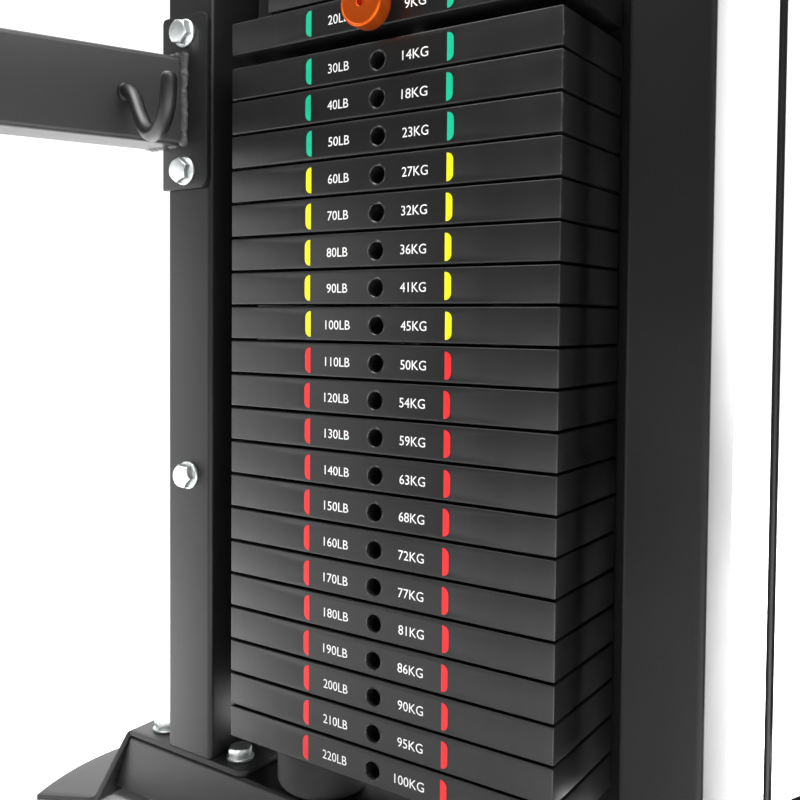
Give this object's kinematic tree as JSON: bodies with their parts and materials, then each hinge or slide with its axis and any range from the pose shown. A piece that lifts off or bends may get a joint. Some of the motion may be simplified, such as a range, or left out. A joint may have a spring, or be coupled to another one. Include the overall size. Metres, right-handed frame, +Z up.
{
  "type": "multi gym",
  "caption": "Dual adjustable pulley multi gym with selectorized weight stacks, swivel trolleys, pull-up bar and rear crossmember.",
  "frame": {"origin": "on the floor, midway between the towers and at the middle of the depth", "axes": "+Z up; -Y toward the open front, where the user stands; +X toward the right tower"},
  "size_m": [1.5676, 0.821, 2.1],
  "materials": {
    "black_powder_coat": "satin black powder coat",
    "satin_black_plate": "satin black steel plate",
    "chromed_steel": "polished",
    "orange_anodised": "orange anodised",
    "grey_rubber": "matt",
    "black_nylon": "moulded",
    "webbing_and_grip": "woven strap with a soft grip",
    "coated_cable": "smooth coated steel cable"
  },
  "bodies": {
    "frame": {"base_right": "black_powder_coat", "rear_upright_right": "black_powder_coat", "front_upright_right": "black_powder_coat", "slide_column_right": "black_powder_coat", "head_beam_right": "black_powder_coat", "rear_cover_right": "black_powder_coat", "cable_right": "coated_cable", "base_left": "black_powder_coat", "rear_upright_left": "black_powder_coat", "front_upright_left": "black_powder_coat", "slide_column_left": "black_powder_coat", "head_beam_left": "black_powder_coat", "rear_cover_left": "black_powder_coat", "cable_left": "coated_cable", "guide_rod_rear_right": "chromed_steel", "guide_rod_front_right": "chromed_steel", "bumper_rear_right": "grey_rubber", "bumper_front_right": "grey_rubber", "plate_030_right": "satin_black_plate", "plate_040_right": "satin_black_plate", "plate_050_right": "satin_black_plate", "plate_060_right": "satin_black_plate", "plate_070_right": "satin_black_plate", "plate_080_right": "satin_black_plate", "plate_090_right": "satin_black_plate", "plate_100_right": "satin_black_plate", "plate_110_right": "satin_black_plate", "plate_120_right": "satin_black_plate", "plate_130_right": "satin_black_plate", "plate_140_right": "satin_black_plate", "plate_150_right": "satin_black_plate", "plate_160_right": "satin_black_plate", "plate_170_right": "satin_black_plate", "plate_180_right": "satin_black_plate", "plate_190_right": "satin_black_plate", "plate_200_right": "satin_black_plate", "plate_210_right": "satin_black_plate", "plate_220_right": "satin_black_plate", "resting_stack_left": "satin_black_plate", "rear_crossmember": "black_powder_coat", "pull_up_bar": "black_powder_coat"},
    "carriage_right": {"head_plate_right": "satin_black_plate", "plate_020_right": "satin_black_plate"},
    "carriage_left": {"head_plates_left": "satin_black_plate"},
    "selector_pin_right": {"selector_pin_right": "orange_anodised"},
    "lift_pulley_right": {"lift_pulley_right": "black_nylon"},
    "base_pulley_right": {"base_pulley_right": "black_nylon"},
    "trolley_right": {"trolley_right": "black_powder_coat"},
    "pop_pin_right": {"pop_pin_right": "chromed_steel"},
    "swivel_right": {"swivel_right": "black_powder_coat"},
    "swivel_pulley_right": {"swivel_pulley_right": "black_nylon"},
    "handle_right": {"handle_right": "webbing_and_grip"},
    "selector_pin_left": {"selector_pin_left": "orange_anodised"},
    "lift_pulley_left": {"lift_pulley_left": "black_nylon"},
    "base_pulley_left": {"base_pulley_left": "black_nylon"},
    "trolley_left": {"trolley_left": "black_powder_coat"},
    "pop_pin_left": {"pop_pin_left": "chromed_steel"},
    "swivel_left": {"swivel_left": "black_powder_coat"},
    "swivel_pulley_left": {"swivel_pulley_left": "black_nylon"},
    "handle_left": {"handle_left": "webbing_and_grip"}
  },
  "joints": [
    {"name": "stack_lift_right", "type": "slide", "parent": "frame", "child": "carriage_right", "axis": [0, 0, 1], "range_m": [0, 1.14], "deforming": ["cable_right"]},
    {"name": "selector_pull_right", "type": "slide", "parent": "carriage_right", "child": "selector_pin_right", "axis": [-0.9225, -0.3859, 0], "range_m": [0, 0.075]},
    {"name": "lift_pulley_turn_right", "type": "hinge", "parent": "carriage_right", "child": "lift_pulley_right", "pos_m": [0.52506, 0.06657, 0.7408], "axis": [-0.9225, -0.3859, 0], "continuous": true},
    {"name": "base_pulley_turn_right", "type": "hinge", "parent": "frame", "child": "base_pulley_right", "pos_m": [0.63689, -0.20079, 0.1085], "axis": [-0.9225, -0.3859, 0], "continuous": true},
    {"name": "trolley_slide_right", "type": "slide", "parent": "frame", "child": "trolley_right", "axis": [0, 0, 1], "range_m": [-0.9, 0.5]},
    {"name": "pop_pin_push_right", "type": "slide", "parent": "trolley_right", "child": "pop_pin_right", "axis": [-0.9225, -0.3859, 0], "range_m": [0, 0.01]},
    {"name": "swivel_turn_right", "type": "hinge", "parent": "trolley_right", "child": "swivel_right", "pos_m": [0.6533, -0.23999, 1.26], "axis": [0, 0, 1], "range_deg": [-60, 60]},
    {"name": "swivel_pulley_turn_right", "type": "hinge", "parent": "swivel_right", "child": "swivel_pulley_right", "pos_m": [0.6717, -0.284, 1.26], "axis": [0.9225, 0.3859, 0], "continuous": true},
    {"name": "handle_swing_right", "type": "hinge", "parent": "swivel_right", "child": "handle_right", "pos_m": [0.6881, -0.32321, 1.172], "axis": [-0.9225, -0.3859, 0], "range_deg": [-20, 75]},
    {"name": "stack_lift_left", "type": "slide", "parent": "frame", "child": "carriage_left", "axis": [0, 0, 1], "range_m": [0, 1.14], "deforming": ["cable_left"]},
    {"name": "selector_pull_left", "type": "slide", "parent": "carriage_left", "child": "selector_pin_left", "axis": [0.9225, -0.3859, 0], "range_m": [0, 0.075]},
    {"name": "lift_pulley_turn_left", "type": "hinge", "parent": "carriage_left", "child": "lift_pulley_left", "pos_m": [-0.52506, 0.06657, 0.7408], "axis": [-0.9225, 0.3859, 0], "continuous": true},
    {"name": "base_pulley_turn_left", "type": "hinge", "parent": "frame", "child": "base_pulley_left", "pos_m": [-0.63689, -0.20079, 0.1085], "axis": [-0.9225, 0.3859, 0], "continuous": true},
    {"name": "trolley_slide_left", "type": "slide", "parent": "frame", "child": "trolley_left", "axis": [0, 0, 1], "range_m": [-0.9, 0.5]},
    {"name": "pop_pin_push_left", "type": "slide", "parent": "trolley_left", "child": "pop_pin_left", "axis": [0.9225, -0.3859, 0], "range_m": [0, 0.01]},
    {"name": "swivel_turn_left", "type": "hinge", "parent": "trolley_left", "child": "swivel_left", "pos_m": [-0.6533, -0.23999, 1.26], "axis": [0, 0, -1], "range_deg": [-60, 60]},
    {"name": "swivel_pulley_turn_left", "type": "hinge", "parent": "swivel_left", "child": "swivel_pulley_left", "pos_m": [-0.6717, -0.284, 1.26], "axis": [0.9225, -0.3859, 0], "continuous": true},
    {"name": "handle_swing_left", "type": "hinge", "parent": "swivel_left", "child": "handle_left", "pos_m": [-0.6881, -0.32321, 1.172], "axis": [-0.9225, 0.3859, 0], "range_deg": [-20, 75]}
  ],
  "couplings": [
    {"joint": "lift_pulley_turn_right", "follows": "stack_lift_right", "rad_per_m": 23.529},
    {"joint": "base_pulley_turn_right", "follows": "stack_lift_right", "rad_per_m": 47.059},
    {"joint": "swivel_pulley_turn_right", "follows": "stack_lift_right", "rad_per_m": 47.059},
    {"joint": "lift_pulley_turn_left", "follows": "stack_lift_left", "rad_per_m": 23.529},
    {"joint": "base_pulley_turn_left", "follows": "stack_lift_left", "rad_per_m": 47.059},
    {"joint": "swivel_pulley_turn_left", "follows": "stack_lift_left", "rad_per_m": 47.059}
  ]
}
